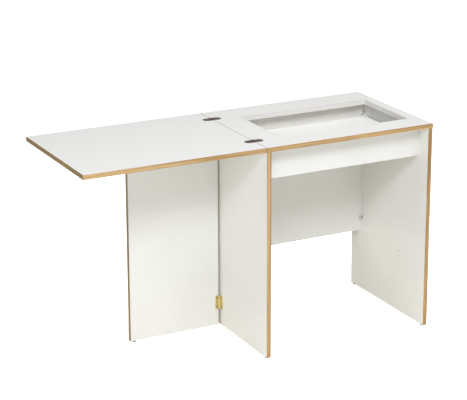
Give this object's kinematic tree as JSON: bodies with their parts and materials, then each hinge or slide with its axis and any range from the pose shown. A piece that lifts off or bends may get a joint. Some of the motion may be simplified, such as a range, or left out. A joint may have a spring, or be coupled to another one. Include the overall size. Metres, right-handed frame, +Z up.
{
  "type": "sewing table",
  "caption": "Sewing table in white board with tan edges: main top with a sunk machine well, a leaf that folds over it on flush hinges, and a swinging gate leg under the leaf.",
  "frame": {"origin": "middle of the footprint on the floor, below the seam between leaf and main top, with the leaf out", "axes": "+X from the leaf to the main top's right end, +Y from the front to the back, +Z up"},
  "size_m": [1.3006, 0.5, 0.7524],
  "materials": {
    "white_board": "white melamine over chipboard, satin",
    "oak_band": "oak-printed edge band",
    "white_band": "white edge band",
    "cream_plastic": "moulded trim",
    "dark_bronze": "dark bronze, satin",
    "brass": "plated, satin",
    "zinc_steel": "zinc plated",
    "black_zinc": "black zinc plated",
    "black_plastic": "moulded",
    "beech": "raw beech"
  },
  "bodies": {
    "frame": {"apron": "white_board", "apron_lower_band": "white_band", "back_panel": "white_board", "back_panel_lower_band": "white_band", "butt_hinge_panel_leaf": "brass", "butt_hinge_panel_screws": "brass", "butt_hinge_pin": "brass", "corner_block_screws": "black_zinc", "corner_blocks": "cream_plastic", "dowels": "beech", "hanger_screws": "zinc_steel", "left_panel": "white_board", "left_panel_front_band": "oak_band", "left_panel_rear_band": "oak_band", "machine_platform": "white_board", "main_top": "white_board", "main_top_end_band": "oak_band", "main_top_front_band": "oak_band", "main_top_rear_band": "oak_band", "main_top_seam_band": "white_band", "oval_hinge_pins": "dark_bronze", "oval_hinge_top_halves": "dark_bronze", "oval_hinge_top_screws": "dark_bronze", "panel_glide_nails": "zinc_steel", "panel_glides": "black_plastic", "platform_hanger_left": "zinc_steel", "platform_hanger_right": "zinc_steel", "right_panel": "white_board", "right_panel_front_band": "oak_band", "right_panel_rear_band": "oak_band", "upper_pivot_bracket": "zinc_steel", "upper_pivot_bracket_screws": "zinc_steel", "well_trim": "cream_plastic"},
    "leaf": {"leaf": "white_board", "leaf_end_band": "oak_band", "leaf_front_band": "oak_band", "leaf_rear_band": "oak_band", "leaf_seam_band": "white_band", "oval_hinge_leaf_halves": "dark_bronze", "oval_hinge_leaf_screws": "dark_bronze"},
    "gate": {"butt_hinge_gate_leaf": "brass", "butt_hinge_gate_screws": "brass", "gate_glide": "black_plastic", "gate_glide_nail": "zinc_steel", "gate_leg": "white_board", "gate_leg_free_end_band": "oak_band", "gate_leg_hinge_end_band": "oak_band", "upper_pivot_arm": "zinc_steel", "upper_pivot_arm_screws": "zinc_steel", "upper_pivot_rivet": "zinc_steel"}
  },
  "joints": [
    {"name": "leaf_hinge", "type": "hinge", "parent": "frame", "child": "leaf", "pos_m": [0, 0, 0.7503], "axis": [0, 1, 0], "range_deg": [0, 180]},
    {"name": "gate_hinge", "type": "hinge", "parent": "frame", "child": "gate", "pos_m": [-0.0029, 0.0968, 0.09], "axis": [0, 0, 1], "range_deg": [-16, 90]}
  ]
}
